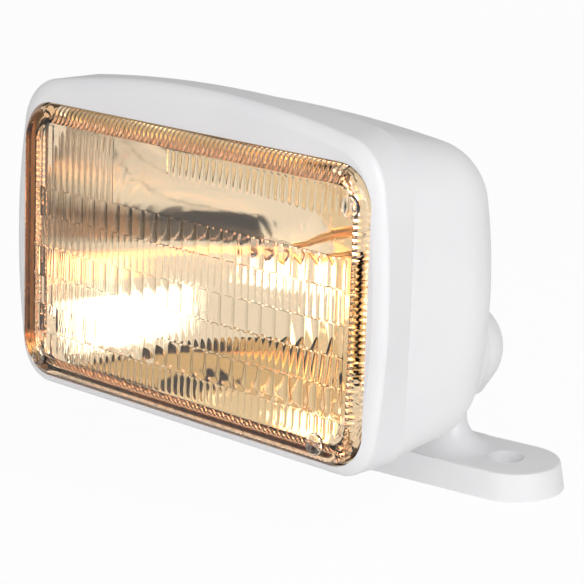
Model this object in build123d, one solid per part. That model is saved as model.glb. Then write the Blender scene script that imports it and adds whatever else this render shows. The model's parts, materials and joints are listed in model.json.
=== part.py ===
from build123d import *
import os
from math import acos, atan2, cos, radians, sin, sqrt

# Marine spotlight with a rectangular sealed-beam lamp, millimetres.
# Row frame: origin at the centre of the foot's underside, X along the foot,
# Z up from the mounting face. The lamp looks along -Y when the head is not turned.
# Head frame: X across the lens, Y from the lens to the back, Z up the lens,
# origin at the middle of the lens rim. It is placed on the swivel at the end.

# Pose of the head at rest
head_pan = -6.4
head_tilt_up = 2.8

# Foot and neck
foot_length = 94.6
foot_width = 38.6
foot_thickness = 10.4
foot_draft = 9.0
foot_edge_radius = 1.0
screw_spacing = 49.0
screw_hole = 5.6
screw_seat = 14.0
screw_seat_depth = 5.4
pivot_height = 49.8
neck_radius = 5.6
neck_flare_radius = 12.4

# Swivel
ball_radius = 15.5
ball_gap = 0.3
socket_wall = 3.0
ball_flat = 11.0
rim_radius = 11.9
rim_drop = 16.5
rim_opening = 10.3
bolt_radius = 3.0
shaft_clearance = 0.05
thread_gap = 0.02
bolt_head_flats = 10.0
bolt_head_height = 4.0
bolt_head_sunk = 0.6
bolt_end = 1.2
nut_flats = 10.0
nut_height = 5.0
nut_pocket_radius = 6.6
nut_pocket_floor = 5.4
washer_radius = 5.6
washer_thickness = 1.0
spring_washer_thickness = 1.6
spring_washer_split = 0.9
spring_washer_slant = 20.0
pin_radius = 3.0
pin_inner = 5.0
pin_outer = 17.4
pin_chamfer = 0.4
pin_end_gap = 0.25
tilt_down_limit = 15.0
tilt_up_limit = 30.0
slot_side_gap = 0.9

# Pivot in the head frame
pivot_back = 143.6
pivot_drop = 48.6

# Lamp
lens_width = 165.0
lens_height = 100.0
lens_corner = 15.0
lens_flange_hidden = 1.7
lens_flange_thickness = 3.0
lens_flange_front = 3.4
lens_face_front = -2.4
lens_edge_round = 3.6
lens_plate = 3.4
flute_depth = 0.55
flute_margin = 4.0
glass_overlap = 0.4
narrow_pitch = 3.1
wide_pitch = 6.2
lens_pocket_margin = 4.6
flute_bands = (
    (24.0, "narrow"),
    (10.4, "wide"),
    (11.3, "narrow"),
    (10.7, "wide"),
    (10.0, "narrow"),
    (11.7, "narrow"),
    (8.6, "wide"),
)
pad_radius = 3.4
pad_height = 0.8
pad_places = (
    (9.9 - lens_width / 2, 12.4 - lens_height / 2),
    (lens_width / 2 - 19.6, 9.4 - lens_height / 2),
    (lens_width / 2 - 10.7, lens_height / 2 - 13.7),
)
reflector_wall = 2.6
reflector_depth = 60.8
reflector_side_margin = 6.1
reflector_top_margin = 5.2
reflector_half_width = lens_width / 2 - reflector_side_margin
reflector_half_height = lens_height / 2 - reflector_top_margin
focal_length = reflector_half_width ** 2 / (4 * reflector_depth)
reflector_taper = 0.25
reflector_narrowing = 4.0
reflector_side_share = 0.6
reflector_corner = 11.0
base_radius = 15.0
base_proud = 2.0
base_root = 6.0
capsule_radius = 6.2
capsule_wall = 0.9
post_radius = 1.1
post_spread = 9.0
filament_radius = 1.0
filament_length = 7.0
lead_radius = 0.6
blade_width = 8.0
blade_thickness = 0.8
blade_length = 11.0
blade_offset = 8.5
connector_width = 27.0
connector_height = 20.0
connector_depth = 12.0
connector_corner = 3.0
connector_chamfer = 1.0

# Bezel, from its widest section to the joint with the rear housing
bezel_side_cover = 4.9
bezel_top_cover = 13.3
bezel_bottom_cover = 2.3
bezel_half_width = lens_width / 2 + bezel_side_cover
bezel_top = lens_height / 2 + bezel_top_cover
bezel_bottom = -lens_height / 2 - bezel_bottom_cover
bezel_arch = 8.8
bezel_side_arch = 5.8
bezel_top_corner = 18.0
bezel_bottom_corner = 14.0
bezel_front = 0.2
bezel_widest = 3.6
bezel_back = 19.5
bezel_edge_inset = 5.0
bezel_edge_steps = (0.0, 0.12, 0.3, 0.6, 1.0)
bezel_wall = 1.6
opening_gap = 0.3
joint_side_taper = 4.8
joint_top_taper = 1.6
joint_bottom_taper = 1.4
joint_half_width = bezel_half_width - joint_side_taper
joint_top = bezel_top - joint_top_taper
joint_bottom = bezel_bottom + joint_bottom_taper
joint_arch = 6.2
joint_side_arch = 0.8
joint_top_corner = 20.0
joint_bottom_corner = 9.0

# Rear housing
shell_wall = 2.6
shell_step = 0.8
shell_joint_gap = 0.2
spigot_front = 10.0
spigot_wall = 2.0
shell_back = 82.5
shell_corner = 34.0
shell_side_taper = 0.6
shell_top_taper = 13.8
shell_bottom_drop = 1.1
shell_rear_half_width = joint_half_width - shell_side_taper
shell_rear_top = joint_top - shell_top_taper
shell_rear_bottom = joint_bottom - shell_bottom_drop
shell_rear_arch = 5.4
shell_rear_side_arch = 8.2
shell_rear_top_corner = 14.0
shell_rear_bottom_corner = 24.0
rear_steps = (0.0, 12.0, 24.0, 37.0, 50.0, 64.0, 78.0)
socket_width = 2 * (ball_radius + ball_gap + socket_wall)

# Tail with the socket: depth, width, height, corner radius and height of the centre
tail_sections = (
    (shell_back - 16.5, socket_width + 36.4, 50.0, 13.0, -6.0),
    (shell_back + 5.5, socket_width + 28.4, 49.0, 15.0, -10.0),
    (shell_back + 25.5, socket_width + 13.4, 47.0, 17.0, 19.6 - pivot_drop),
    (pivot_back - 19.5, socket_width + 5.9, 42.5, 14.0, 2.6 - pivot_drop),
    (pivot_back, socket_width - 0.4, 36.0, 17.6, -pivot_drop),
)

# Lamp frame and fastenings
frame_thickness = 1.2
frame_ear = 3.8
frame_screw_x = 40.0
frame_screw_rise = 3.4
frame_screw_z = lens_height / 2 + frame_screw_rise
frame_clearance = 0.3
frame_ear_reach = 6.0
ear_corner = 2.5
boss_radius = 3.0
screw_radius = 1.5
screw_head_radius = 2.8
screw_head_height = 1.8
screw_slot = 0.7
screw_grip = 4.6
fit_gap = 0.3
touch_gap = 0.05
screw_hole_gap = 0.15
gasket_thickness = 0.8
gasket_edge = 0.2
top_rib_x = 18.0
side_rib_heights = (-22.0, 24.0)
rib_thickness = 2.0
seal_front = 11.6
seal_width = 1.8
seal_depth = 0.9
bezel_screw_margin = 13.5
bezel_screw_x = lens_width / 2 - bezel_screw_margin
bezel_screw_y = 16.4
bezel_boss_height = 9.0
retainer_seat = ball_radius - 1.0
retainer_plate = 3.0
retainer_cup_radius = ball_radius - 1.1
retainer_cup_end = 8.5
retainer_screw_x = ball_radius - 1.1
retainer_screw_z = 9.5
retainer_screw_radius = 1.25
retainer_screw_grip = 5.2
retainer_screw_head_radius = 2.2
retainer_screw_head_height = 1.5
grommet_y = 99.0
grommet_z = -16.0
grommet_face = 33.0
grommet_boss_radius = 8.6
grommet_radius = 5.6
grommet_flange_radius = 7.6
grommet_flange = 1.6
grommet_bore = 3.0
grommet_body = 6.5
grommet_nose = 5.0
grommet_nose_wall = 2.2
grommet_tip_wall = 1.2

PIVOT = Vector(0, pivot_back, -pivot_drop)
SWIVEL = Pos(0, 0, pivot_height) * Rot(Z=head_pan)
HEAD = SWIVEL * Rot(X=-head_tilt_up) * Pos(0, -pivot_back, pivot_drop)
STANDING = (Align.CENTER, Align.CENTER, Align.MIN)
HANGING = (Align.CENTER, Align.CENTER, Align.MAX)


def section(y):
    """Plane across the head at depth y, with local x and y along the head's X and Z."""
    return Plane(origin=(0, y, 0), x_dir=(1, 0, 0), z_dir=(0, -1, 0))


def save(name, shape):
    export_step(shape, os.path.join("parts", name + ".step"))


def arched(y, half, low, high, arch, side_arch, low_corner, high_corner):
    """Rounded outline with bowed sides and an arched top, as a face at depth y."""
    foot_x = half - side_arch
    shoulder = high - arch
    middle = (low + shoulder) / 2
    edges = Line((-foot_x, low), (foot_x, low))
    edges += ThreePointArc((foot_x, low), (half, middle), (foot_x, shoulder))
    edges += ThreePointArc((foot_x, shoulder), (0, high), (-foot_x, shoulder))
    edges += ThreePointArc((-foot_x, shoulder), (-half, middle), (-foot_x, low))
    face = make_face(edges)
    face = fillet(face.vertices().filter_by(lambda v: v.Y < middle), low_corner)
    face = fillet(face.vertices().filter_by(lambda v: v.Y > shoulder - 0.1), high_corner)
    return section(y) * face


def rounded(y, width, height, radius, x=0.0, z=0.0):
    return section(y) * Pos(x, z) * RectangleRounded(width, height, radius)


def slab(face, depth):
    """Extrude a section towards the back of the head."""
    return extrude(face, amount=-depth)


def between(first, last, share):
    return first + (last - first) * share


def bezel_section(y, inset=0.0):
    """Outline of the bezel's outside at depth y, moved in by inset."""
    share = 0.0
    if y < bezel_widest:
        reach = (bezel_widest - y) / (bezel_widest - bezel_front)
        inset = inset + bezel_edge_inset * (1 - sqrt(1 - reach * reach * 0.96))
    else:
        share = (y - bezel_widest) / (bezel_back - bezel_widest)
    return arched(
        y,
        between(bezel_half_width, joint_half_width, share) - inset,
        between(bezel_bottom, joint_bottom, share) + inset,
        between(bezel_top, joint_top, share) - inset,
        between(bezel_arch, joint_arch, share),
        between(bezel_side_arch, joint_side_arch, share),
        between(bezel_bottom_corner, joint_bottom_corner, share) - inset * 0.6,
        between(bezel_top_corner, joint_top_corner, share) - inset * 0.6,
    )


def layer(shape, front, back):
    """The part of a shape between two depths."""
    span = 4 * lens_width
    return shape & Pos(0, (front + back) / 2, 0) * Box(span, back - front, span)


def bezel_form(inset):
    """Solid that fills the bezel from its widest section to the joint, moved in by inset."""
    return loft([bezel_section(y, inset) for y in (bezel_widest, bezel_back)], ruled=True)


def shell_section(y, inset=0.0):
    """Outline of the rear housing's outside at depth y, moved in by inset."""
    share = (y - bezel_back) / (shell_back - bezel_back)
    turn = 0.0
    turn_start = shell_back - shell_corner
    if y > turn_start:
        reach = min(1.0, (y - turn_start) / shell_corner)
        turn = shell_corner * (1 - sqrt(1 - reach * reach))
    shrink = turn / shell_corner
    inset = inset + between(shell_step, 0, min(share, 1))
    return arched(
        y,
        between(joint_half_width, shell_rear_half_width, share) - turn - inset,
        between(joint_bottom, shell_rear_bottom, share) + turn + inset,
        between(joint_top, shell_rear_top, share) - turn - inset,
        between(joint_arch, shell_rear_arch, share) * (1 - 0.7 * shrink),
        between(joint_side_arch, shell_rear_side_arch, share) * (1 - 0.8 * shrink),
        between(joint_bottom_corner, shell_rear_bottom_corner, share) - inset * 0.6 - 12 * shrink,
        between(joint_top_corner, shell_rear_top_corner, share) - inset * 0.6 - 6 * shrink,
    )


def shell_form(start, inset, back_gap=0.0):
    """Tapered body from depth start to its rounded back."""
    turn_start = shell_back - shell_corner
    straight = loft([shell_section(y, inset) for y in (start, turn_start)], ruled=True)
    depths = [turn_start + shell_corner * sin(radians(a)) for a in rear_steps]
    rounded_back = loft([shell_section(y, inset) for y in depths if y < shell_back - back_gap])
    return straight + rounded_back


def snout_form(inset):
    """Hollow tail that carries the socket, widest where it leaves the body."""
    faces = []
    for y, width, height, radius, z in tail_sections:
        faces.append(rounded(y, width - 2 * inset, height - 2 * inset, radius - inset, z=z))
    return loft(faces)


def socket_profile():
    """Half outline of the socket about the vertical line through the pivot."""
    radius = socket_width / 2
    reach = sqrt(rim_radius ** 2 + rim_drop ** 2)
    tangent = -atan2(rim_drop, rim_radius) + acos(radius / reach)
    touch = (radius * cos(tangent), radius * sin(tangent))
    middle = (tangent + radians(90)) / 2
    edges = ThreePointArc((0, radius), (radius * cos(middle), radius * sin(middle)), touch)
    edges += Line(touch, (rim_radius, -rim_drop))
    edges += Line((rim_radius, -rim_drop), (0, -rim_drop))
    edges += Line((0, -rim_drop), (0, radius))
    return make_face(Plane.XZ * edges)


def at_pivot(shape):
    return Pos(PIVOT) * shape


def make_foot():
    """Oval foot with drafted sides, neck flared into it and two counterbored holes."""
    half_draft = foot_thickness * sin(radians(foot_draft))
    base = SlotOverall(foot_length, foot_width)
    foot = extrude(base, amount=foot_thickness, taper=foot_draft)
    top_edges = foot.faces().sort_by(Axis.Z)[-1].edges()
    foot = fillet(top_edges, foot_edge_radius)
    neck_top = pivot_height - ball_flat - washer_thickness - 2 * touch_gap
    flare = neck_flare_radius
    root = foot_thickness / 5
    corner = flare * (1 - sin(radians(45)))
    profile = Line((0, root), (neck_radius + flare, root))
    profile += Line((neck_radius + flare, root), (neck_radius + flare, foot_thickness))
    profile += ThreePointArc(
        (neck_radius + flare, foot_thickness),
        (neck_radius + corner, foot_thickness + corner),
        (neck_radius, foot_thickness + flare),
    )
    profile += Line((neck_radius, foot_thickness + flare), (neck_radius, neck_top))
    profile += Line((neck_radius, neck_top), (0, neck_top))
    profile += Line((0, neck_top), (0, root))
    neck = revolve(make_face(Plane.XZ * profile), Axis.Z)
    top = SlotOverall(foot_length - 2 * half_draft, foot_width - 2 * half_draft)
    foot = foot + (neck & extrude(top, amount=pivot_height))
    for side in (-1, 1):
        spot = Pos(side * screw_spacing / 2, 0, 0)
        foot -= spot * Cylinder(screw_hole / 2, foot_thickness * 3)
        seat = Pos(0, 0, foot_thickness - screw_seat_depth) * Cylinder(
            screw_seat / 2, neck_flare_radius, align=STANDING
        )
        foot -= spot * seat
    foot -= Cylinder(bolt_radius + shaft_clearance, pivot_height * 2)
    hexagon = RegularPolygon(bolt_head_flats / 2 + 2 * touch_gap, 6, major_radius=False)
    return foot - extrude(hexagon, amount=bolt_head_sunk + bolt_head_height)


def make_bolt():
    """Hexagon bolt up through the neck; its top end carries the nut inside the ball."""
    hexagon = RegularPolygon(bolt_head_flats / 2, 6, major_radius=False)
    head = Pos(0, 0, bolt_head_sunk) * extrude(hexagon, amount=bolt_head_height)
    shaft_start = bolt_head_sunk + bolt_head_height
    top = pivot_height + nut_pocket_floor + spring_washer_thickness + nut_height + bolt_end
    return head + Pos(0, 0, shaft_start) * Cylinder(bolt_radius, top - shaft_start, align=STANDING)


def ring(outer, inner, height):
    return Cylinder(outer, height, align=STANDING) - Cylinder(inner, height, align=STANDING)


def make_friction_washer():
    return Pos(0, 0, pivot_height - ball_flat - washer_thickness - touch_gap) * ring(
        washer_radius, bolt_radius + shaft_clearance, washer_thickness
    )


def make_spring_washer():
    """Split spring ring under the nut."""
    washer = ring(nut_flats / 2, bolt_radius + shaft_clearance, spring_washer_thickness)
    split = Box(nut_flats, spring_washer_split, 3 * spring_washer_thickness)
    washer -= Pos(nut_flats / 2, 0, spring_washer_thickness / 2) * Rot(X=spring_washer_slant) * split
    return Pos(0, 0, pivot_height + nut_pocket_floor + touch_gap) * washer


def make_nut():
    nut = extrude(RegularPolygon(nut_flats / 2, 6, major_radius=False), amount=nut_height)
    nut -= Cylinder(bolt_radius + thread_gap, nut_height * 3)
    level = pivot_height + nut_pocket_floor + spring_washer_thickness + 2 * touch_gap
    return Pos(0, 0, level) * nut


def make_ball():
    """Ball that turns on the bolt, with a flat seat below and a nut pocket above."""
    ball = Sphere(ball_radius)
    below = Box(4 * ball_radius, 4 * ball_radius, 2 * ball_radius)
    ball -= Pos(0, 0, -ball_flat - ball_radius) * below
    ball -= Cylinder(bolt_radius + shaft_clearance, 4 * ball_radius)
    ball -= Pos(0, 0, nut_pocket_floor) * Cylinder(
        nut_pocket_radius, 2 * ball_radius, align=STANDING
    )
    for side in (-1, 1):
        bore = Rot(Y=90) * Cylinder(pin_radius, 2 * (pin_outer - pin_inner))
        ball -= Pos(side * pin_outer, 0, 0) * bore
    return SWIVEL * ball


def make_pins():
    """Two short trunnion pins pressed into the sides of the ball."""
    pins = []
    for side in (-1, 1):
        pin = Rot(Y=90) * Cylinder(pin_radius, pin_outer - pin_inner)
        pin = chamfer(pin.edges(), pin_chamfer)
        pins.append(SWIVEL * Pos(side * (pin_inner + pin_outer) / 2, 0, 0) * pin)
    return Compound(children=pins)


def neck_slot():
    """Way through the socket for the neck over the whole tilt travel."""
    reach = 3 * ball_radius
    half = neck_radius + slot_side_gap
    cuts = []
    for angle in (-tilt_down_limit, tilt_up_limit):
        cuts.append(Rot(X=angle) * Cylinder(half, reach, align=HANGING))
    low = radians(-tilt_down_limit)
    high = radians(tilt_up_limit)
    first = (reach * sin(low), -reach * cos(low))
    last = (reach * sin(high), -reach * cos(high))
    fan = Line((0, 0), first) + Line(first, last) + Line(last, (0, 0))
    wedge = extrude(make_face(Plane.YZ * fan), amount=half, both=True)
    return wedge + cuts[0] + cuts[1]


def make_shell():
    """Rear housing: tapered shell, spigot for the bezel, tail and swivel socket in one moulding."""
    outside = shell_form(bezel_back, 0.0)
    spigot = layer(bezel_form(bezel_wall + shell_joint_gap), spigot_front, bezel_back)
    socket = at_pivot(revolve(socket_profile(), Axis.Z))
    shell = outside + spigot + snout_form(0.0) + socket
    entry = Pos(0, grommet_y, grommet_z) * Rot(Y=-90)
    shell += entry * Cylinder(grommet_boss_radius, grommet_face, align=STANDING)
    throat_inset = bezel_wall + shell_joint_gap + spigot_wall
    throat = layer(bezel_form(throat_inset), spigot_front - 1, bezel_back)
    cavity = throat + shell_form(bezel_back - 0.01, shell_wall, back_gap=shell_wall)
    for side in (-1, 1):
        place = Pos(side * bezel_screw_x, bezel_screw_y, boss_floor())
        cavity -= place * Cylinder(boss_radius, bezel_boss_height, align=STANDING)
    tail_end = pivot_back - retainer_seat
    shell = shell - cavity - layer(snout_form(shell_wall), 0, tail_end)
    inside = ball_radius + ball_gap
    shell -= at_pivot(Rot(X=90) * Cylinder(inside, retainer_seat + 1, align=STANDING))
    for x, z in retainer_screw_places():
        pilot = Rot(X=90) * Cylinder(retainer_screw_radius, 2 * retainer_screw_grip)
        shell -= at_pivot(Pos(x, -retainer_seat, z) * pilot)
    for side in (-1, 1):
        pilot = Cylinder(screw_radius, 2 * (bezel_boss_height - bezel_wall))
        shell -= Pos(side * bezel_screw_x, bezel_screw_y, boss_floor()) * pilot
    groove_floor = bezel_wall + shell_joint_gap + seal_depth
    shell -= seal_ring(seal_front, seal_width, bezel_wall - 2 * touch_gap, groove_floor)
    shell -= entry * Cylinder(grommet_radius + touch_gap, 2 * grommet_face, align=STANDING)
    shell -= at_pivot(Sphere(inside))
    shell -= at_pivot(Cylinder(rim_opening, rim_drop + 1, align=HANGING))
    shell -= at_pivot(neck_slot())
    pin_way = Circle(pin_radius + shaft_clearance)
    pin_way += Pos(-ball_radius / 2, 0) * Rectangle(ball_radius, 2 * (pin_radius + shaft_clearance))
    shell -= at_pivot(extrude(Plane.YZ * pin_way, amount=pin_outer + pin_end_gap, both=True))
    return shell


def retainer_screw_places():
    """Four places round the ball, left and right, above and below."""
    return [(x * retainer_screw_x, z * retainer_screw_z) for x in (-1, 1) for z in (-1, 1)]


def boss_floor():
    """Height where the bezel screw bosses start, on the spigot's lower wall."""
    return bezel_floor(bezel_screw_y) + bezel_wall + shell_joint_gap + 0.05


def bezel_floor(y):
    """Height of the bezel's underside at depth y."""
    return between(bezel_bottom, joint_bottom, (y - bezel_widest) / (bezel_back - bezel_widest))


def seal_ring(front, width, outer_inset, inner_inset):
    """Ring that follows the bezel's outline between two insets."""
    return layer(bezel_form(outer_inset) - bezel_form(inner_inset), front, front + width)


def make_seal():
    """Rubber seal in the spigot's groove, just touching the bezel's inside."""
    return seal_ring(
        seal_front + touch_gap,
        seal_width - 2 * touch_gap,
        bezel_wall + touch_gap,
        bezel_wall + shell_joint_gap + seal_depth - touch_gap,
    )


def opening_size():
    """Width and height of the bezel's opening round the visible glass."""
    hidden = 2 * lens_flange_hidden
    return lens_width - hidden + 2 * opening_gap, lens_height - 0.7 * hidden + 2 * opening_gap


def make_bezel():
    """Front bezel: rounded arched band with a seat, ribs and bosses for the lamp inside."""
    edge = [between(bezel_front, bezel_widest, k) for k in bezel_edge_steps]
    cover = loft([bezel_section(y) for y in edge])
    cover += bezel_form(0)
    seat = lens_flange_front - gasket_thickness
    mouth = slab(Pos(0, seat - bezel_widest, 0) * bezel_section(bezel_widest, bezel_wall), 1.0)
    cover -= bezel_form(bezel_wall) + mouth
    width, height = opening_size()
    opening = rounded(bezel_front, width, height, lens_corner - lens_flange_hidden)
    cover -= extrude(opening, amount=bezel_back, both=True)
    rear = lens_flange_front + lens_flange_thickness
    middle = (seat + rear) / 2
    rib_start = lens_width / 2 + fit_gap
    rib_foot = lens_height / 2 + fit_gap
    tabs = []
    for side in (-1, 1):
        boss = Rot(X=-90) * Cylinder(boss_radius, rear - seat, align=STANDING)
        tabs.append(Pos(side * frame_screw_x, seat, frame_screw_z) * boss)
        top_rib = Box(rib_thickness, rear - seat, bezel_top - rib_foot)
        tabs.append(Pos(side * top_rib_x, middle, (rib_foot + bezel_top) / 2) * top_rib)
        for z in side_rib_heights:
            side_rib = Box(bezel_half_width - rib_start, rear - seat, rib_thickness)
            tabs.append(Pos(side * (rib_start + bezel_half_width) / 2, middle, z) * side_rib)
    inside = bezel_form(bezel_wall / 2) + mouth
    for tab in tabs:
        cover += tab & inside
    for side in (-1, 1):
        pilot = Rot(X=90) * Cylinder(screw_radius, screw_grip + 2, align=STANDING)
        cover -= Pos(side * frame_screw_x, rear + 1, frame_screw_z) * pilot
        hole = Cylinder(screw_radius + screw_hole_gap, 5 * bezel_wall)
        cover -= Pos(side * bezel_screw_x, bezel_screw_y, bezel_bottom) * hole
    return cover


def make_lens_gasket():
    width, height = opening_size()
    edge = 2 * gasket_edge
    front = lens_flange_front - gasket_thickness + touch_gap
    outer = rounded(front, lens_width - edge, lens_height - edge, lens_corner)
    inner = rounded(0, width, height, lens_corner - lens_flange_hidden)
    return slab(outer, gasket_thickness - 2 * touch_gap) - slab(inner, bezel_back)


def flute_layer(low, high, pitch, floor, half):
    """One band of upright cylindrical flutes on the inside of the glass."""
    count = int(half / pitch)
    start = -count * pitch
    root = floor - glass_overlap
    path = Line((start, root), (start, floor))
    for i in range(2 * count):
        left = start + i * pitch
        crest = (left + pitch / 2, floor + flute_depth)
        path += ThreePointArc((left, floor), crest, (left + pitch, floor))
    path += Line((-start, floor), (-start, root))
    path += Line((-start, root), (start, root))
    return Pos(0, 0, low) * extrude(make_face(path), amount=high - low)


def make_lens():
    """Pressed glass: rounded face, hidden flange, flute bands inside and three aiming pads."""
    width, height = opening_size()
    edge = 2 * opening_gap
    corner = lens_corner - lens_flange_hidden - opening_gap
    outline = rounded(lens_face_front, width - edge, height - edge, corner)
    face = slab(outline, lens_flange_front - lens_face_front + glass_overlap)
    face = fillet(face.faces().sort_by(Axis.Y)[0].edges(), lens_edge_round)
    rim = rounded(lens_flange_front, lens_width, lens_height, lens_corner)
    flange = slab(rim, lens_flange_thickness)
    floor = lens_face_front + lens_plate
    inside_width = lens_width - 2 * lens_pocket_margin
    inside_height = lens_height - 2 * lens_pocket_margin
    pocket = rounded(floor, inside_width, inside_height, lens_corner - lens_pocket_margin)
    glass = face + flange - slab(pocket, bezel_back)
    total = sum(band[0] for band in flute_bands)
    level = total / 2
    pitches = {"narrow": narrow_pitch, "wide": wide_pitch}
    for tall, kind in flute_bands:
        glass += flute_layer(level - tall, level, pitches[kind], floor, inside_width / 2 - flute_margin)
        level -= tall
    for x, z in pad_places:
        pad = Rot(X=90) * Cylinder(pad_radius, pad_height + glass_overlap, align=STANDING)
        glass += Pos(x, lens_face_front + glass_overlap, z) * pad
    return glass


REFLECTOR_FRONT = lens_flange_front + lens_flange_thickness
VERTEX = REFLECTOR_FRONT + reflector_depth
BASE = VERTEX + reflector_wall + base_proud


def bowl(vertex, front):
    """Solid paraboloid opening towards the lens."""
    radius = sqrt(4 * focal_length * (vertex - front))
    edges = Bezier((0, vertex), (radius / 2, vertex), (radius, front))
    edges += Line((radius, front), (0, front))
    edges += Line((0, front), (0, vertex))
    return revolve(make_face(edges), Axis.Y)


def tapered_box(grow):
    """Walls that cut the bowl flat above and below, closing in towards the back."""
    length = VERTEX + 10 - REFLECTOR_FRONT
    near_width = reflector_half_width + reflector_side_share * grow
    near_height = reflector_half_height + grow
    corner = reflector_corner + grow
    near = rounded(REFLECTOR_FRONT, 2 * near_width, 2 * near_height, corner)
    far_width = near_width - reflector_narrowing
    far_height = near_height - reflector_taper * length
    far = rounded(REFLECTOR_FRONT + length, 2 * far_width, 2 * far_height, corner - 2)
    return loft([near, far])


def make_reflector():
    """Aluminised glass bowl with flat top and bottom walls and a thick base for the lamp posts."""
    outer = bowl(VERTEX + reflector_wall, REFLECTOR_FRONT) & tapered_box(reflector_wall)
    base = Rot(X=90) * Cylinder(base_radius, BASE - VERTEX + base_root, align=STANDING)
    outer += Pos(0, BASE, 0) * base
    inner = bowl(VERTEX, REFLECTOR_FRONT - 0.01) & tapered_box(0)
    shell = outer - inner
    for side in (-1, 1):
        bore = Rot(X=90) * Cylinder(post_radius + shaft_clearance, 2 * BASE)
        shell -= Pos(side * post_spread, BASE, 0) * bore
    return shell


def make_capsule():
    """Small quartz capsule at the focus, lying across the head, open where the leads pass."""
    length = 2 * (post_spread - post_radius - touch_gap)
    inner = capsule_radius - capsule_wall
    wall = SlotOverall(length, 2 * capsule_radius) - SlotOverall(length - 2 * capsule_wall, 2 * inner)
    hole = lead_radius + touch_gap
    wall -= Pos(0, hole - 2 * capsule_radius) * Rectangle(2 * length, 4 * capsule_radius)
    return Pos(0, VERTEX - focal_length, 0) * revolve(wall, Axis.X)


def make_filament():
    """Coiled filament drawn as its envelope, on two straight leads."""
    wire = Rot(Y=90) * Cylinder(filament_radius, filament_length)
    wire += Rot(Y=90) * Cylinder(lead_radius, 2 * (post_spread - post_radius - touch_gap))
    return Pos(0, VERTEX - focal_length, 0) * wire


def make_posts():
    posts = []
    front = VERTEX - focal_length - post_radius - lead_radius
    for side in (-1, 1):
        post = Cylinder(post_radius, BASE - front, align=STANDING)
        posts.append(Pos(side * post_spread, front, 0) * Rot(X=-90) * post)
    return Compound(children=posts)


def blade_places():
    return ((-blade_offset, 0, 90), (blade_offset, 0, 90), (0, blade_offset * 0.8, 0))


def make_blades():
    """Three flat terminals of the standard plug, one across the top and two upright."""
    blades = []
    for x, z, turn in blade_places():
        blade = Pos(0, blade_length / 2, 0) * Box(blade_width, blade_length, blade_thickness)
        blades.append(Pos(x, BASE + touch_gap, z) * Rot(Y=turn) * blade)
    return Compound(children=blades)


def make_connector():
    """Plug pushed over the three terminals."""
    face = rounded(BASE + fit_gap, connector_width, connector_height, connector_corner)
    body = slab(face, connector_depth)
    body = chamfer(body.faces().sort_by(Axis.Y)[-1].edges(), connector_chamfer)
    depth = blade_length + fit_gap
    play = 2 * touch_gap
    for x, z, turn in blade_places():
        slot = Pos(0, depth / 2, 0) * Box(blade_width + play, depth, blade_thickness + play)
        body -= Pos(x, BASE, z) * Rot(Y=turn) * slot
    return body


def make_lamp_frame():
    """Pressed steel frame that holds the lamp's flange against its gasket."""
    front = REFLECTOR_FRONT + touch_gap
    edge = 2 * frame_clearance
    frame = slab(rounded(front, lens_width - edge, lens_height - edge, lens_corner), frame_thickness)
    tall = 2 * frame_ear + frame_ear_reach
    middle = frame_screw_z - frame_ear_reach / 2
    for side in (-1, 1):
        ear = rounded(front, 2 * frame_ear, tall, ear_corner, x=side * frame_screw_x, z=middle)
        frame += slab(ear, frame_thickness)
    width = 2 * (reflector_half_width + reflector_side_share * reflector_wall + fit_gap)
    height = 2 * (reflector_half_height + reflector_wall + fit_gap)
    hole = rounded(0, width, height, reflector_corner + reflector_wall + fit_gap)
    frame -= slab(hole, bezel_back)
    for side in (-1, 1):
        hole = Rot(X=90) * Cylinder(screw_radius + screw_hole_gap, 6 * frame_thickness)
        frame -= Pos(side * frame_screw_x, front, frame_screw_z) * hole
    return frame


def screw(radius, head_radius, head_height, grip):
    """Pan-head screw pointing down, its head's underside at the origin."""
    shank = Cylinder(radius, grip, align=HANGING)
    head = Cylinder(head_radius, head_height, align=STANDING)
    head = fillet(head.faces().sort_by(Axis.Z)[-1].edges(), head_height * 0.45)
    slot = Pos(0, 0, head_height) * Box(head_radius * 1.3, screw_slot, head_height * 0.9)
    return shank + head - slot - Rot(Z=90) * slot


def make_frame_screws():
    screws = []
    under_head = REFLECTOR_FRONT + touch_gap + frame_thickness + touch_gap
    for side in (-1, 1):
        one = screw(screw_radius - thread_gap, screw_head_radius, screw_head_height, screw_grip + 1)
        screws.append(Pos(side * frame_screw_x, under_head, frame_screw_z) * Rot(X=-90) * one)
    return Compound(children=screws)


def make_bezel_screws():
    screws = []
    under = bezel_floor(bezel_screw_y) - fit_gap
    grip = bezel_boss_height - 1.5 * bezel_wall
    for side in (-1, 1):
        one = screw(screw_radius - thread_gap, screw_head_radius, screw_head_height, grip)
        screws.append(Pos(side * bezel_screw_x, bezel_screw_y, under) * Rot(X=180) * one)
    return Compound(children=screws)


def make_retainer():
    """Plate with a cup that closes the socket in front of the ball."""
    rear = pivot_back - retainer_seat - touch_gap
    plate = layer(snout_form(shell_wall + fit_gap), rear - retainer_plate, rear)
    cup_start = retainer_seat + 3 * fit_gap
    cup = Rot(X=-90) * Cylinder(retainer_cup_radius, cup_start - retainer_cup_end, align=STANDING)
    retainer = plate + at_pivot(Pos(0, -cup_start, 0) * cup)
    retainer -= at_pivot(Sphere(ball_radius + ball_gap))
    retainer -= at_pivot(neck_slot())
    for x, z in retainer_screw_places():
        hole = Rot(X=90) * Cylinder(retainer_screw_radius + screw_hole_gap, 4 * retainer_plate)
        retainer -= at_pivot(Pos(x, -retainer_seat - retainer_plate, z) * hole)
    return retainer


def make_retainer_screws():
    screws = []
    under = -retainer_seat - retainer_plate - 2 * touch_gap
    for x, z in retainer_screw_places():
        one = screw(
            retainer_screw_radius - thread_gap,
            retainer_screw_head_radius,
            retainer_screw_head_height,
            retainer_plate + screw_grip,
        )
        screws.append(at_pivot(Pos(x, under, z) * Rot(X=90) * one))
    return Compound(children=screws)


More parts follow.
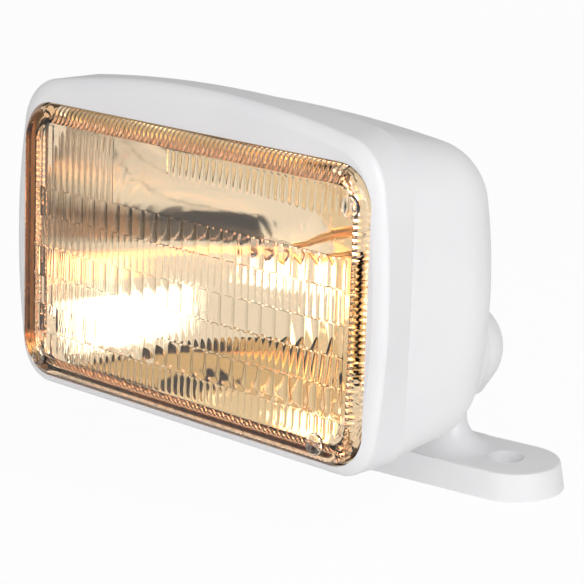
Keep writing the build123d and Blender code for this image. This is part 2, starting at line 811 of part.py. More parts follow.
def make_grommet():
    """Rubber cable entry seated on its boss, with a nose that tapers to the bore."""
    body = Cylinder(grommet_radius, grommet_body, align=HANGING)
    flange = Cylinder(grommet_flange_radius, grommet_flange, align=STANDING)
    flange = fillet(flange.faces().sort_by(Axis.Z)[-1].edges(), grommet_flange * 0.5)
    wide = grommet_bore + grommet_nose_wall
    narrow = grommet_bore + grommet_tip_wall
    nose = Pos(0, 0, grommet_flange) * Cone(wide, narrow, grommet_nose, align=STANDING)
    shape = body + flange + nose - Cylinder(grommet_bore, 2 * grommet_face)
    return Pos(-grommet_face - touch_gap, grommet_y, grommet_z) * Rot(Y=-90) * shape


HEAD_PIECES = {
    "rear_housing": make_shell,
    "front_bezel": make_bezel,
    "housing_seal": make_seal,
    "bezel_screws": make_bezel_screws,
    "lens_gasket": make_lens_gasket,
    "lens": make_lens,
    "reflector": make_reflector,
    "halogen_capsule": make_capsule,
    "filament": make_filament,
    "filament_posts": make_posts,
    "terminal_blades": make_blades,
    "lamp_connector": make_connector,
    "lamp_frame": make_lamp_frame,
    "frame_screws": make_frame_screws,
    "ball_retainer": make_retainer,
    "retainer_screws": make_retainer_screws,
    "cable_grommet": make_grommet,
}
FIXED_PIECES = {
    "mounting_foot": make_foot,
    "swivel_bolt": make_bolt,
    "friction_washer": make_friction_washer,
    "spring_washer": make_spring_washer,
    "swivel_nut": make_nut,
    "swivel_ball": make_ball,
    "trunnion_pins": make_pins,
}

os.makedirs("parts", exist_ok=True)
for name, make in FIXED_PIECES.items():
    save(name, make())
for name, make in HEAD_PIECES.items():
    save(name, HEAD * make())
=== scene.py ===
import json
from math import asin, cos, pi, radians, sin, sqrt

import bmesh
import bpy
from mathutils import Matrix, Vector


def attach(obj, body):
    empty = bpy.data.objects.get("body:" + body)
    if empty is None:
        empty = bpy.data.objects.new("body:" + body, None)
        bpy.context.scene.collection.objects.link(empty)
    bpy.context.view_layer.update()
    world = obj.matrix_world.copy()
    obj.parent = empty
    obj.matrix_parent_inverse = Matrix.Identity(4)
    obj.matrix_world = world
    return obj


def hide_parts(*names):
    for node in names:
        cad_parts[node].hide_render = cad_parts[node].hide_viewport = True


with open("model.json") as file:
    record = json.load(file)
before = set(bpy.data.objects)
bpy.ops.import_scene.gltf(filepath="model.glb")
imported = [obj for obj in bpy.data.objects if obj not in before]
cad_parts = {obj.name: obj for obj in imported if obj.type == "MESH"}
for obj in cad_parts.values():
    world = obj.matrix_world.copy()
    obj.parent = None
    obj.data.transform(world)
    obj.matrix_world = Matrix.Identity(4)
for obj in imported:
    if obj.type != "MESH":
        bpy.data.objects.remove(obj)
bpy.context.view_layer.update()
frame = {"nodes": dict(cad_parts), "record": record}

# Deck spotlight: white moulded head with a fluted sealed-beam lamp, on a ball swivel and an oval
# foot. Metres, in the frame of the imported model. The head's own frame has X across the lens, Y from
# the lens to the back, Z up the lens and its origin at the middle of the lens rim.

MM = 0.001
PHOTO_SIDE = 584

# Head at rest on its swivel
PIVOT_HEIGHT = 49.8 * MM
PIVOT_BACK = 143.6 * MM
PIVOT_DROP = 48.6 * MM
HEAD_PAN = radians(-6.4)
HEAD_TILT_UP = radians(2.8)

# Camera, fitted to the lens corners and the foot in the photograph
CAMERA_PLACE = (0.47056, -0.72119, 0.31443)
CAMERA_AZIMUTH = radians(37.21)
CAMERA_ELEVATION = radians(15.82)
CAMERA_SENSOR = 36.0
CAMERA_FOCAL_PIXELS = 2364.29
CAMERA_CLIP = (0.05, 20.0)

# Lamp glass, pressed: outline, face, flange and the pocket behind the fluted plate
GLASS_HALF_WIDTH = 82.5 * MM
GLASS_HALF_HEIGHT = 50.0 * MM
GLASS_CORNER = 15.0 * MM
FACE_INSET = 1.7 * MM
FACE_FRONT = -2.4 * MM
FACE_ROUND = 3.6 * MM
FLANGE_FRONT = 3.4 * MM
FLANGE_BACK = 6.4 * MM
FLANGE_EDGE = 0.3 * MM
POCKET_MARGIN = 4.6 * MM
POCKET_FLOOR = 1.0 * MM
PLATE_MARGIN = 8.0 * MM
FLUTE_MARGIN = 2.0 * MM
NARROW_DEPTH = 0.24 * MM
WIDE_DEPTH = 0.4 * MM
SEAM_HEIGHT = 0.16 * MM
SEAM_WIDTH = 0.3 * MM
NARROW_PITCH = 3.1 * MM
WIDE_PITCH = 6.2 * MM
RIB_PITCH = 2.1 * MM
RIB_DEPTH = 0.5 * MM
# Shares of the pocket wall's depth between which it is ribbed
RIB_START = 0.08
RIB_END = 0.9
PAD_PLACES = ((-70.3 * MM, -41.6 * MM), (63.7 * MM, -42.4 * MM), (74.8 * MM, 36.4 * MM))
# Radius and depth of a pad's rings, from its root inside the glass to its dished middle
PAD_PROFILE = (
    (3.7 * MM, -1.9 * MM),
    (3.7 * MM, -2.9 * MM),
    (3.4 * MM, -3.2 * MM),
    (2.4 * MM, -3.2 * MM),
    (1.4 * MM, -2.6 * MM),
)
# Depth of the flange film's edges and how far they stand out of the flange's outline
FILM_PROFILE = (
    (1.5 * MM, -1.685 * MM),
    (3.385 * MM, -1.685 * MM),
    (3.385 * MM, -0.3 * MM),
    (3.7 * MM, 0.015 * MM),
    (6.1 * MM, 0.015 * MM),
    (6.415 * MM, -0.3 * MM),
    (6.415 * MM, -2.2 * MM),
    (6.43 * MM, -2.2 * MM),
    (6.43 * MM, -0.28 * MM),
    (6.11 * MM, 0.035 * MM),
    (3.69 * MM, 0.035 * MM),
    (3.37 * MM, -0.28 * MM),
    (3.37 * MM, -1.67 * MM),
    (1.5 * MM, -1.67 * MM),
)
# Corner facets of the bowl: half width, half height, corner and mouth radius, front and back
FACET_HALF_WIDTH = 77.9 * MM
FACET_HALF_HEIGHT = 47.3 * MM
FACET_CORNER = 13.5 * MM
FACET_MOUTH = 78.1 * MM
FACET_DEPTHS = (6.44 * MM, 7.6 * MM)
# Fineness of the meshes: steps of the plate's grid and of the arcs, and the angle of a sharp edge
COLUMN_STEP = 0.31 * MM
ROW_STEP = 0.7 * MM
CORNER_TURN = radians(7.5)
FACE_TURN = radians(11.25)
PAD_TURN = radians(10)
FACET_TURN = radians(9)
MOUTH_TURN = radians(3)
SHARP_EDGE = radians(32)


def head_matrix():
    """Place of the head's own frame in the model at rest."""
    turn = Matrix.Rotation(HEAD_PAN, 4, "Z") @ Matrix.Rotation(-HEAD_TILT_UP, 4, "X")
    lift = Matrix.Translation((0, 0, PIVOT_HEIGHT))
    return lift @ turn @ Matrix.Translation((0, -PIVOT_BACK, PIVOT_DROP))


HEAD = head_matrix()


def linear(colour):
    """sRGB hex colour as a linear RGBA value."""
    parts = [int(colour[i:i + 2], 16) / 255 for i in (1, 3, 5)]
    parts = [p / 12.92 if p <= 0.04045 else ((p + 0.055) / 1.055) ** 2.4 for p in parts]
    return (*parts, 1.0)


def add(tree, kind, values=None, links=None, **settings):
    """Adds a shader node with its settings, its socket values and the links into it."""
    node = tree.nodes.new("ShaderNode" + kind)
    for name, value in settings.items():
        setattr(node, name, value)
    for socket, value in (values or {}).items():
        node.inputs[socket].default_value = value
    for socket, source in (links or {}).items():
        tree.links.new(source, node.inputs[socket])
    return node


def blank_material(name):
    """New material with a Principled shader, as (material, tree, shader)."""
    material = bpy.data.materials.new(name)
    material.use_nodes = True
    tree = material.node_tree
    shader = tree.nodes["Principled BSDF"]
    return material, tree, shader


def per_metre(size_mm):
    """Noise scale that makes a pattern of that size in millimetres."""
    return 1 / (size_mm * MM)


def moulded_asa():
    """White ASA, injection moulded: satin gloss, faint flow clouds and a fine grain."""
    material, tree, shader = blank_material("white_asa_moulded_satin")
    shader.inputs["IOR"].default_value = 1.5
    shader.inputs["Subsurface Weight"].default_value = 0.03
    shader.inputs["Subsurface Radius"].default_value = (1.2 * MM, 1.2 * MM, 1.0 * MM)
    place = add(tree, "TexCoord")
    clouds = add(
        tree, "TexNoise", {"Scale": per_metre(45), "Detail": 2.0},
        {"Vector": place.outputs["Object"]},
    )
    tint = add(tree, "ValToRGB", links={"Fac": clouds.outputs["Fac"]})
    tint.color_ramp.elements[0].position = 0.3
    tint.color_ramp.elements[0].color = linear("#EBEAEC")
    tint.color_ramp.elements[1].position = 0.7
    tint.color_ramp.elements[1].color = linear("#F1F0F1")
    tree.links.new(tint.outputs["Color"], shader.inputs["Base Color"])
    sheen = add(
        tree, "TexNoise", {"Scale": per_metre(9), "Detail": 3.0},
        {"Vector": place.outputs["Object"]},
    )
    gloss = add(tree, "MapRange", {"To Min": 0.27, "To Max": 0.36}, {"Value": sheen.outputs["Fac"]})
    tree.links.new(gloss.outputs["Result"], shader.inputs["Roughness"])
    # The tool's grain is about 0.1 mm, drawn at 0.7 mm so that it shows at all.
    grain = add(
        tree, "TexNoise", {"Scale": per_metre(0.7), "Detail": 2.0},
        {"Vector": place.outputs["Object"]},
    )
    bump = add(
        tree, "Bump", {"Strength": 0.04, "Distance": 0.1 * MM}, {"Height": grain.outputs["Fac"]}
    )
    tree.links.new(bump.outputs["Normal"], shader.inputs["Normal"])
    return material


def moulded_black(name, colour, rough, grain_mm):
    """Black nylon or rubber, moulded: matte, with a grain that breaks up the highlights."""
    material, tree, shader = blank_material(name)
    place = add(tree, "TexCoord")
    # The tool's grain is about 0.1 mm, drawn coarser so that it shows at all.
    grain = add(
        tree, "TexNoise", {"Scale": per_metre(grain_mm), "Detail": 4.0},
        {"Vector": place.outputs["Object"]},
    )
    tone = add(tree, "ValToRGB", links={"Fac": grain.outputs["Fac"]})
    tone.color_ramp.elements[0].color = linear(colour)
    tone.color_ramp.elements[1].color = linear("#2E2E2E")
    tree.links.new(tone.outputs["Color"], shader.inputs["Base Color"])
    shader.inputs["Roughness"].default_value = rough
    bump = add(
        tree, "Bump", {"Strength": 0.3, "Distance": 0.1 * MM}, {"Height": grain.outputs["Fac"]}
    )
    tree.links.new(bump.outputs["Normal"], shader.inputs["Normal"])
    return material


def metal(name, colour, rough_low, rough_high, streak_mm, direction):
    """Bare or plated metal: fine tool marks along one direction stretch its highlights."""
    material, tree, shader = blank_material(name)
    shader.inputs["Metallic"].default_value = 1.0
    shader.inputs["Base Color"].default_value = linear(colour)
    place = add(tree, "TexCoord")
    stretched = add(tree, "Mapping", {"Scale": direction}, {"Vector": place.outputs["Object"]})
    # Tool marks are a tenth of this wide, drawn coarser so that they show at all.
    marks = add(
        tree, "TexNoise", {"Scale": per_metre(streak_mm), "Detail": 3.0},
        {"Vector": stretched.outputs["Vector"]},
    )
    gloss = add(
        tree, "MapRange", {"To Min": rough_low, "To Max": rough_high},
        {"Value": marks.outputs["Fac"]},
    )
    tree.links.new(gloss.outputs["Result"], shader.inputs["Roughness"])
    bump = add(
        tree, "Bump", {"Strength": 0.15, "Distance": 0.05 * MM}, {"Height": marks.outputs["Fac"]}
    )
    tree.links.new(bump.outputs["Normal"], shader.inputs["Normal"])
    return material


def pressed_glass():
    """Soda-lime glass, pressed: clear in the plate, warm where light runs along its thickness."""
    material, tree, shader = blank_material("lamp_glass_pressed")
    shader.inputs["Base Color"].default_value = (1, 1, 1, 1)
    shader.inputs["Transmission Weight"].default_value = 1.0
    shader.inputs["IOR"].default_value = 1.5
    shader.inputs["Roughness"].default_value = 0.0
    place = add(tree, "TexCoord")
    # Chill waves of the press, about 9 mm across.
    waves = add(
        tree, "TexNoise", {"Scale": per_metre(9), "Detail": 1.0},
        {"Vector": place.outputs["Object"]},
    )
    bump = add(
        tree, "Bump", {"Strength": 0.1, "Distance": 0.1 * MM}, {"Height": waves.outputs["Fac"]}
    )
    tree.links.new(bump.outputs["Normal"], shader.inputs["Normal"])
    tint = add(tree, "VolumeAbsorption", {"Color": linear("#FFD08A"), "Density": 29.0})
    tree.links.new(tint.outputs["Volume"], tree.nodes["Material Output"].inputs["Volume"])
    return material


def quartz_glass():
    """Fused quartz, drawn into a capsule: clear and bright-edged."""
    material, tree, shader = blank_material("quartz_drawn_clear")
    shader.inputs["Transmission Weight"].default_value = 1.0
    shader.inputs["IOR"].default_value = 1.46
    place = add(tree, "TexCoord")
    # Draw marks of the tube, about 4 mm long.
    ripple = add(
        tree, "TexNoise", {"Scale": per_metre(4), "Detail": 1.0},
        {"Vector": place.outputs["Object"]},
    )
    gloss = add(tree, "MapRange", {"To Min": 0.0, "To Max": 0.03}, {"Value": ripple.outputs["Fac"]})
    tree.links.new(gloss.outputs["Result"], shader.inputs["Roughness"])
    return material


def aluminised_glass(name, colour):
    """Vacuum-deposited aluminium film on pressed glass: a warm mirror with soft press waves."""
    material, tree, shader = blank_material(name)
    shader.inputs["Metallic"].default_value = 1.0
    shader.inputs["Base Color"].default_value = linear(colour)
    place = add(tree, "TexCoord")
    # Press waves of the bowl, about 14 mm across.
    waves = add(
        tree, "TexNoise", {"Scale": per_metre(14), "Detail": 2.0},
        {"Vector": place.outputs["Object"]},
    )
    gloss = add(tree, "MapRange", {"To Min": 0.02, "To Max": 0.09}, {"Value": waves.outputs["Fac"]})
    tree.links.new(gloss.outputs["Result"], shader.inputs["Roughness"])
    bump = add(
        tree, "Bump", {"Strength": 0.1, "Distance": 0.5 * MM}, {"Height": waves.outputs["Fac"]}
    )
    tree.links.new(bump.outputs["Normal"], shader.inputs["Normal"])
    return material


def make_materials():
    """One material for each of the record's material slots, and one for the fused edge."""
    return {
        "white_plastic": moulded_asa(),
        "black_plastic": moulded_black("black_nylon_moulded", "#151515", 0.5, 1.2),
        "black_rubber": moulded_black("black_rubber_moulded", "#0E0E0E", 0.72, 0.6),
        "lens_glass": pressed_glass(),
        "capsule_glass": quartz_glass(),
        "reflector_coating": aluminised_glass("aluminium_film_on_glass_bowl", "#F3E4C6"),
        "fused_edge": aluminised_glass("aluminium_film_on_fused_edge", "#F6E3C2"),
        "stainless_steel": metal("stainless_steel_machined", "#C9C8C6", 0.2, 0.36, 0.8, (1, 1, 12)),
        "plated_steel": metal("yellow_passivated_zinc_plate", "#DDB978", 0.3, 0.45, 3.0, (1, 1, 1)),
        "tungsten": metal("tungsten_drawn_wire", "#8C8884", 0.35, 0.5, 0.3, (8, 1, 1)),
        "brass": metal("brass_stamped", "#D9B36A", 0.25, 0.4, 1.0, (1, 10, 1)),
    }


def finish_cad_nodes(materials):
    """Gives every node of the frame its material, by the slot that the record names."""
    slots = {entry["node"]: entry["material_slot"] for entry in frame["record"]["subparts"]}
    for name, node in frame["nodes"].items():
        node.data.materials.clear()
        node.data.materials.append(materials[slots[name]])


# Flute bands from the top: height, pitch and length of the scalloped lower ends
FLUTE_BANDS = (
    (22.2 * MM, NARROW_PITCH, 0.0),
    (10.2 * MM, WIDE_PITCH, 0.0),
    (11.2 * MM, NARROW_PITCH, 0.0),
    (10.6 * MM, WIDE_PITCH, 0.0),
    (10.2 * MM, NARROW_PITCH, 0.0),
    (10.2 * MM, WIDE_PITCH, 2.6 * MM),
    (8.0 * MM, NARROW_PITCH, 3.0 * MM),
)
BAND_TOP = sum(band[0] for band in FLUTE_BANDS) / 2
# Part of the top band that stays bare, and the height where the short flutes beside it end
BARE_LEFT = -35.0 * MM
BARE_RIGHT = -8.5 * MM
SHORT_FLUTES_END = 32.0 * MM
SHORT_SCALLOP = 3.2 * MM


def flute_shape(x, pitch, above_end, scallop):
    """Round-topped flute across its pitch, fading out in an arch over its lower end."""
    cell = ((x / pitch) % 1.0) * 2 - 1
    height = 1 - cell * cell
    if scallop and above_end < scallop:
        height -= (1 - above_end / scallop) ** 2
    return max(height, 0.0)


def flute_height(x, z):
    """How far the flute or the seam between bands stands out of the plate at a place."""
    level = BAND_TOP
    for index, (tall, pitch, scallop) in enumerate(FLUTE_BANDS):
        low = level - tall
        if abs(z - low) < 0.5 * SEAM_WIDTH:
            return SEAM_HEIGHT
        if low <= z <= level:
            if index == 0 and x > BARE_LEFT:
                if x < BARE_RIGHT or z < SHORT_FLUTES_END:
                    return 0.0
                low = SHORT_FLUTES_END
                scallop = SHORT_SCALLOP
            depth = NARROW_DEPTH if pitch == NARROW_PITCH else WIDE_DEPTH
            return depth * flute_shape(x, pitch, z - low, scallop)
        level = low
    return 0.0


def spaced(low, high, step):
    """Even steps from low to high, both included."""
    count = max(1, round((high - low) / step))
    return [low + (high - low) * i / count for i in range(count + 1)]


def pocket_rows(half_height, corner):
    """Heights of the grid's rows: closer round the corners and in pairs at each band's edge."""
    straight = half_height - corner
    edges = [BAND_TOP]
    for tall, _, _ in FLUTE_BANDS:
        edges.append(edges[-1] - tall)
    rows = spaced(-straight, straight, ROW_STEP)
    rows = [z for z in rows if min(abs(z - edge) for edge in edges) > 1.2 * SEAM_WIDTH]
    shifts = (-SEAM_WIDTH, -0.4 * SEAM_WIDTH, 0.4 * SEAM_WIDTH, SEAM_WIDTH)
    rows += [edge + shift for edge in edges for shift in shifts if abs(edge) < straight]
    arc = [straight + corner * sin(angle) for angle in spaced(0, pi / 2, CORNER_TURN)[1:]]
    rows += arc + [-z for z in arc]
    return sorted(set(rows))


def join_rings(mesh, first, second):
    """Band of faces between two closed rings of the same count."""
    for i in range(len(first)):
        j = (i + 1) % len(first)
        mesh.faces.new((first[i], first[j], second[j], second[i]))


def add_pads(mesh):
    """Three round aiming pads on the face, each with a dished top."""
    for x, z in PAD_PLACES:
        rings = []
        for radius, y in PAD_PROFILE:
            ring = []
            for angle in spaced(0, 2 * pi, PAD_TURN)[:-1]:
                ring.append(mesh.verts.new((x + radius * cos(angle), y, z + radius * sin(angle))))
            rings.append(ring)
        for inner, outer in zip(rings, rings[1:]):
            join_rings(mesh, inner, outer)
        mesh.faces.new(rings[0])
        mesh.faces.new(rings[-1])


def make_lens(materials):
    """Pressed glass: rounded face, flange, sloped and ribbed pocket wall, fluted inside."""
    half_width = GLASS_HALF_WIDTH - PLATE_MARGIN
    half_height = GLASS_HALF_HEIGHT - PLATE_MARGIN
    corner = GLASS_CORNER - PLATE_MARGIN
    rows = pocket_rows(half_height, corner)
    columns = round(2 * half_width / COLUMN_STEP)
    straight = half_height - corner
    mesh = bmesh.new()
    grid = []
    for z in rows:
        over = max(0.0, abs(z) - straight)
        reach = half_width - corner + sqrt(max(corner * corner - over * over, 0.0))
        line = []
        for i in range(columns + 1):
            x = reach * (2 * i / columns - 1)
            inside = abs(x) < half_width - FLUTE_MARGIN and abs(z) < BAND_TOP
            y = POCKET_FLOOR + (flute_height(x, z) if inside else 0.0)
            line.append(mesh.verts.new((x, y, z)))
        grid.append(line)
    for low, high in zip(grid, grid[1:]):
        for i in range(columns):
            mesh.faces.new((low[i], low[i + 1], high[i + 1], high[i]))
    border = grid[0][:-1] + [line[-1] for line in grid[:-1]]
    border += grid[-1][:0:-1] + [line[0] for line in grid[:0:-1]]
    rim = [(v.co.x, v.co.z) for v in border]
    normals = [outline_normal(x, z, half_width - corner, straight) for x, z in rim]
    run = 0.0
    ribs = []
    for i, point in enumerate(rim):
        before = rim[i - 1]
        run += sqrt((point[0] - before[0]) ** 2 + (point[1] - before[1]) ** 2)
        ribs.append(RIB_DEPTH * (0.5 + 0.5 * cos(2 * pi * run / RIB_PITCH)))
    rings = [border]

    def ring(y, grow, ribbed=0.0):
        line = []
        for (x, z), (nx, nz), rib in zip(rim, normals, ribs):
            out = grow - rib * ribbed
            line.append(mesh.verts.new((x + nx * out, y, z + nz * out)))
        rings.append(line)

    wall = FLANGE_BACK - POCKET_FLOOR
    slope = PLATE_MARGIN - POCKET_MARGIN
    ring(POCKET_FLOOR + RIB_START * wall, RIB_START * slope, 1.0)
    ring(POCKET_FLOOR + RIB_END * wall, RIB_END * slope, 1.0)
    ring(FLANGE_BACK, slope)
    ring(FLANGE_BACK, PLATE_MARGIN - FLANGE_EDGE)
    ring(FLANGE_BACK - FLANGE_EDGE, PLATE_MARGIN)
    ring(FLANGE_FRONT + FLANGE_EDGE, PLATE_MARGIN)
    ring(FLANGE_FRONT, PLATE_MARGIN - FLANGE_EDGE)
    face_grow = PLATE_MARGIN - FACE_INSET
    ring(FLANGE_FRONT, face_grow)
    for angle in spaced(0, pi / 2, FACE_TURN):
        y = FACE_FRONT + FACE_ROUND * (1 - sin(angle))
        ring(y, face_grow - FACE_ROUND * (1 - cos(angle)))
    for inner, outer in zip(rings, rings[1:]):
        join_rings(mesh, inner, outer)
    mesh.faces.new(rings[-1])
    add_pads(mesh)
    bmesh.ops.recalc_face_normals(mesh, faces=mesh.faces)
    return piece_from(mesh, "lamp_lens", materials["lens_glass"], smooth=True)


def make_flange_film(materials):
    """Film of the bowl where it runs on round the flange, which gives the rim its amber depth."""
    outline = []
    for quadrant, (i, j) in enumerate(((1, 1), (-1, 1), (-1, -1), (1, -1))):
        for angle in spaced(0, pi / 2, CORNER_TURN):
            turn = angle + quadrant * pi / 2
            centre = (i * (GLASS_HALF_WIDTH - GLASS_CORNER), j * (GLASS_HALF_HEIGHT - GLASS_CORNER))
            outline.append((centre, (cos(turn), sin(turn))))
    mesh = bmesh.new()
    rings = []
    for y, grow in FILM_PROFILE:
        reach = GLASS_CORNER + grow
        ring = [(c[0] + n[0] * reach, y, c[1] + n[1] * reach) for c, n in outline]
        rings.append([mesh.verts.new(point) for point in ring])
    for first, second in zip(rings, rings[1:] + rings[:1]):
        join_rings(mesh, first, second)
    bmesh.ops.recalc_face_normals(mesh, faces=mesh.faces)
    return piece_from(mesh, "lamp_flange_film", materials["fused_edge"], smooth=True)


def make_corner_facets(materials):
    """Flat corners that close the bowl between its round mouth and the rectangular rim."""
    side = FACET_HALF_WIDTH
    top = FACET_HALF_HEIGHT
    bend = FACET_CORNER
    low = asin(sqrt(FACET_MOUTH ** 2 - side ** 2) / FACET_MOUTH)
    high = asin(top / FACET_MOUTH)
    corner = []
    for angle in spaced(0, pi / 2, FACET_TURN):
        corner.append((side - bend + bend * cos(angle), top - bend + bend * sin(angle)))
    for angle in reversed(spaced(low, high, MOUTH_TURN)):
        corner.append((FACET_MOUTH * cos(angle), FACET_MOUTH * sin(angle)))
    mesh = bmesh.new()
    for i, j in ((1, 1), (-1, 1), (-1, -1), (1, -1)):
        front, back = [[mesh.verts.new((i * x, y, j * z)) for x, z in corner] for y in FACET_DEPTHS]
        mesh.faces.new(front)
        mesh.faces.new(back)
        join_rings(mesh, front, back)
    bmesh.ops.recalc_face_normals(mesh, faces=mesh.faces)
    return piece_from(mesh, "bowl_corner_facets", materials["reflector_coating"])


def outline_normal(x, z, corner_x, corner_z):
    """Outward direction of a rounded outline at one of its points."""
    dx = max(abs(x) - corner_x, 0.0) * (1 if x > 0 else -1)
    dz = max(abs(z) - corner_z, 0.0) * (1 if z > 0 else -1)
    length = sqrt(dx * dx + dz * dz)
    return dx / length, dz / length


def piece_from(mesh, name, material, smooth=False):
    """Object from a bmesh in the head's frame, flat or smooth apart from its sharp edges."""
    data = bpy.data.meshes.new(name)
    mesh.to_mesh(data)
    mesh.free()
    data.transform(HEAD)
    data.materials.append(material)
    piece = bpy.data.objects.new(name, data)
    bpy.context.scene.collection.objects.link(piece)
    if smooth:
        data.shade_smooth()
        data.set_sharp_from_angle(angle=SHARP_EDGE)
    return piece


# Softboxes round the lamp: direction from -Y towards +X and height in degrees, distance, size,
# watts, colour, and whether it gives diffuse light and gloss. The glow and the amber ones give
# neither, and are only mirrored behind the glass.
SOFTBOXES = (
    ("softbox_left", 50, 32, 1.8, 1.2, 0.8, 12.8, "#FFFFFF", True, True),
    ("softbox_front", -16, 10, 1.8, 0.7, 0.45, 3.5, "#FFFFFF", True, True),
    ("softbox_right", 72, 12, 1.9, 0.8, 0.8, 5.3, "#FFFFFF", True, True),
    ("softbox_back", -160, 6, 2.0, 1.4, 0.7, 5.0, "#FFFFFF", True, False),
    ("front_glow", -14, 13, 1.95, 1.1, 0.6, 7.0, "#FFFFFF", False, False),
    ("amber_surround", -15, 8, 2.0, 1.5, 0.9, 11.0, "#FF8E2E", False, False),
    ("amber_left", 66, 5, 1.7, 1.0, 0.4, 6.0, "#FF9A40", False, False),
    ("amber_strip", 14, 0, 1.6, 1.7, 0.13, 1.8, "#FF8A2A", False, False),
)
# Mats on the floor in front of the lamp, in sight of gloss and of rays through glass, but not of
# the camera or of diffuse light: colour and corners in metres
MATS = (
    ("dark_mat", "#1E0D05", ((-0.05, -0.32), (0.2, -0.26), (0.6, -0.7), (0.1, -2.0))),
    ("amber_mat", "#E8A258", ((0.1, -0.2), (0.12, -0.16), (0.6, -0.26), (0.42, -0.5))),
)
MAT_RISE = 2.0 * MM
STUDIO_MIDDLE = (0, -0.06, 0.1)
# Brightness of the white room, except for the camera and for rays through glass
ROOM_LEVEL = 0.42
# Half side of the floor, its glow for the camera and for rays through glass, and the ellipse
# under the foot without that glow
FLOOR_REACH = 6.0
FLOOR_GLOW = 0.94
UNDER_FOOT = (36.0 * MM, 12.0 * MM)
UNDER_FADE = 0.1


def make_camera():
    """Camera at the photograph's viewing angle."""
    data = bpy.data.cameras.new("camera")
    data.sensor_width = CAMERA_SENSOR
    data.lens = CAMERA_FOCAL_PIXELS / PHOTO_SIDE * CAMERA_SENSOR
    data.clip_start, data.clip_end = CAMERA_CLIP
    camera = bpy.data.objects.new("camera", data)
    bpy.context.scene.collection.objects.link(camera)
    camera.location = CAMERA_PLACE
    ahead = Vector((
        -sin(CAMERA_AZIMUTH) * cos(CAMERA_ELEVATION),
        cos(CAMERA_AZIMUTH) * cos(CAMERA_ELEVATION),
        -sin(CAMERA_ELEVATION),
    ))
    camera.rotation_mode = "QUATERNION"
    camera.rotation_quaternion = ahead.to_track_quat("-Z", "Y")
    bpy.context.scene.camera = camera


def area_lamp(name, place, target, width, height, power, colour, lights, shines):
    """Softbox that points at the target, and may be left out of diffuse light or of gloss."""
    data = bpy.data.lights.new(name, "AREA")
    data.shape = "RECTANGLE"
    data.size = width
    data.size_y = height
    data.energy = power
    data.color = linear(colour)[:3]
    lamp = bpy.data.objects.new(name, data)
    bpy.context.scene.collection.objects.link(lamp)
    lamp.location = place
    lamp.rotation_mode = "QUATERNION"
    lamp.rotation_quaternion = (target - place).to_track_quat("-Z", "Y")
    lamp.visible_diffuse = lights
    lamp.visible_glossy = shines


def heading(azimuth, elevation):
    """Unit direction from the lamp, turned from -Y towards +X and raised."""
    turn = radians(azimuth)
    rise = radians(elevation)
    return Vector((sin(turn) * cos(rise), -cos(turn) * cos(rise), sin(rise)))


def floor_mat(name, colour, corners):
    """Felt mat on the floor, off camera, that tints a part of what the bowl mirrors."""
    data = bpy.data.meshes.new(name)
    data.from_pydata([(x, y, MAT_RISE) for x, y in corners], [], [(0, 1, 2, 3)])
    material, tree, shader = blank_material(name + "_felt")
    shader.inputs["Base Color"].default_value = linear(colour)
    shader.inputs["Roughness"].default_value = 1.0
    data.materials.append(material)
    mat = bpy.data.objects.new(name, data)
    bpy.context.scene.collection.objects.link(mat)
    mat.visible_camera = False
    mat.visible_diffuse = False
    mat.visible_shadow = False


def seen_rays(tree):
    """One for rays straight from the camera or through glass, else none."""
    rays = add(tree, "LightPath")
    direct, through = rays.outputs["Is Camera Ray"], rays.outputs["Is Transmission Ray"]
    return add(tree, "Math", links={0: direct, 1: through}, operation="MAXIMUM").outputs[0]


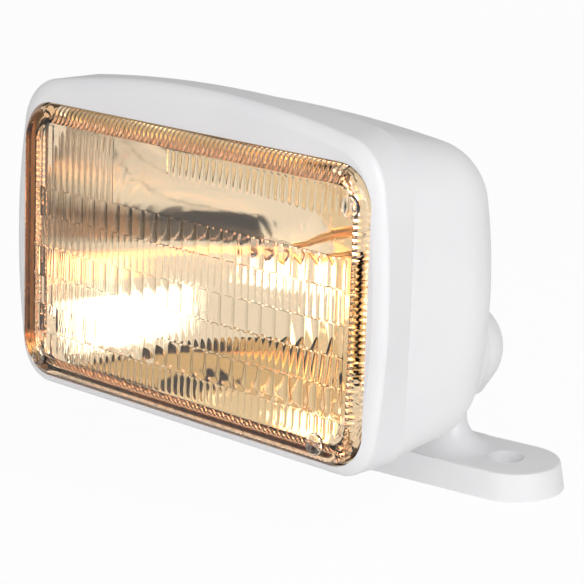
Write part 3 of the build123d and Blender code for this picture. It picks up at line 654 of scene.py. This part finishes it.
def make_studio():
    """White floor and room, soft lamps, and the mats that the bowl mirrors."""
    floor_data = bpy.data.meshes.new("floor")
    side = FLOOR_REACH
    floor_data.from_pydata(
        [(-side, -side, 0), (side, -side, 0), (side, side, 0), (-side, side, 0)], [], [(0, 1, 2, 3)]
    )
    material, tree, shader = blank_material("floor_paper")
    shader.inputs["Base Color"].default_value = linear("#FFFFFF")
    shader.inputs["Roughness"].default_value = 1.0
    glow = add(tree, "Emission", {"Color": (1, 1, 1, 1), "Strength": 1.0})
    seen = seen_rays(tree)
    place = add(tree, "TexCoord")
    spot = add(
        tree, "Mapping", {"Scale": (1 / UNDER_FOOT[0], 1 / UNDER_FOOT[1], 1)},
        {"Vector": place.outputs["Object"]},
    )
    under = add(
        tree, "TexGradient", links={"Vector": spot.outputs["Vector"]}, gradient_type="SPHERICAL"
    )
    plain = add(
        tree, "MapRange", {"From Max": UNDER_FADE, "To Min": FLOOR_GLOW, "To Max": 0.0},
        {"Value": under.outputs["Fac"]},
    )
    share = add(
        tree, "Math", links={0: seen, 1: plain.outputs["Result"]}, operation="MULTIPLY"
    )
    mix = add(
        tree, "MixShader",
        links={"Fac": share.outputs[0], 1: shader.outputs["BSDF"], 2: glow.outputs["Emission"]},
    )
    tree.links.new(mix.outputs["Shader"], tree.nodes["Material Output"].inputs["Surface"])
    floor_data.materials.append(material)
    floor = bpy.data.objects.new("floor", floor_data)
    bpy.context.scene.collection.objects.link(floor)
    world = bpy.data.worlds.new("studio")
    bpy.context.scene.world = world
    world.use_nodes = True
    tree = world.node_tree
    seen = seen_rays(tree)
    level = add(tree, "MapRange", {"To Min": ROOM_LEVEL, "To Max": 1.0}, {"Value": seen})
    tree.links.new(level.outputs["Result"], tree.nodes["Background"].inputs["Strength"])
    tree.nodes["Background"].inputs["Color"].default_value = (1, 1, 1, 1)
    middle = Vector(STUDIO_MIDDLE)
    for name, azimuth, elevation, away, width, height, power, colour, lights, shines in SOFTBOXES:
        place = middle + away * heading(azimuth, elevation)
        area_lamp(name, place, middle, width, height, power, colour, lights, shines)
    for name, colour, corners in MATS:
        floor_mat(name, colour, corners)


materials = make_materials()
finish_cad_nodes(materials)
lens = make_lens(materials)
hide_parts("lens")
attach(lens, "head")
film = make_flange_film(materials)
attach(film, "head")
facets = make_corner_facets(materials)
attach(facets, "head")
make_studio()
make_camera()
bpy.context.scene.view_settings.view_transform = "Standard"
